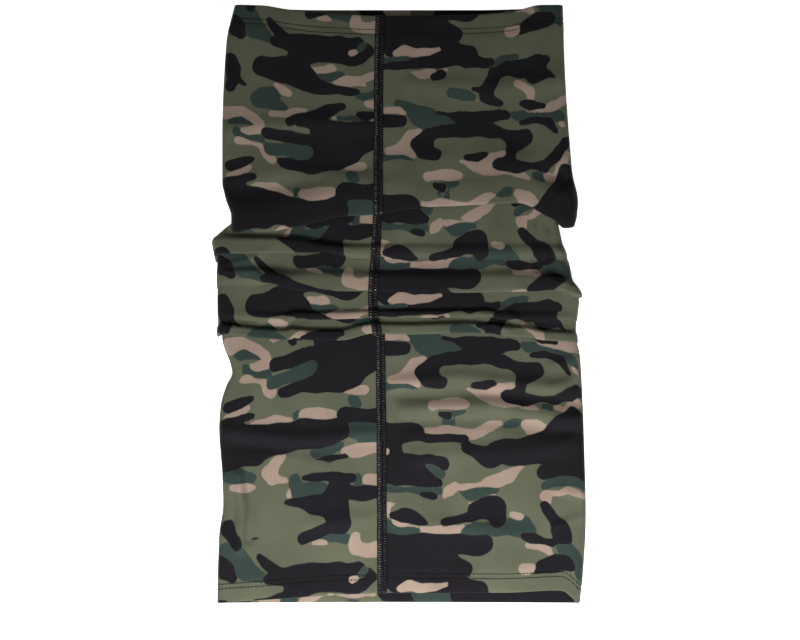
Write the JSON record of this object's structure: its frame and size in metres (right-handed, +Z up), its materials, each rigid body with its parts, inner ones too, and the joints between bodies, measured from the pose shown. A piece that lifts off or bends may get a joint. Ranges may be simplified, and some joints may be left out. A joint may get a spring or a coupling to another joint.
{
  "type": "neck gaiter",
  "caption": "Soft jersey tube worn round the neck and lower face, with a flat seam, two turned-in hems and a gathered middle, lying flat.",
  "frame": {"origin": "centre of the lying tube's outline, on the surface that it lies on", "axes": "+X across the tube, +Y along it towards the upper hem, +Z up from the surface"},
  "size_m": [0.2534, 0.408, 0.0162],
  "materials": {
    "printed_jersey": null,
    "sewing_thread": "black textured polyester thread, slight sheen"
  },
  "bodies": {
    "root": {"tube_panel": "printed_jersey", "top_hem": "printed_jersey", "bottom_hem": "printed_jersey", "seam_cover_thread": "sewing_thread", "seam_looper_thread": "sewing_thread", "seam_needle_thread_left": "sewing_thread", "seam_needle_thread_centre": "sewing_thread", "seam_needle_thread_right": "sewing_thread", "top_hem_needle_thread_outer": "sewing_thread", "top_hem_needle_thread_inner": "sewing_thread", "top_hem_looper_thread": "sewing_thread", "bottom_hem_needle_thread_outer": "sewing_thread", "bottom_hem_needle_thread_inner": "sewing_thread", "bottom_hem_looper_thread": "sewing_thread"}
  },
  "joints": []
}
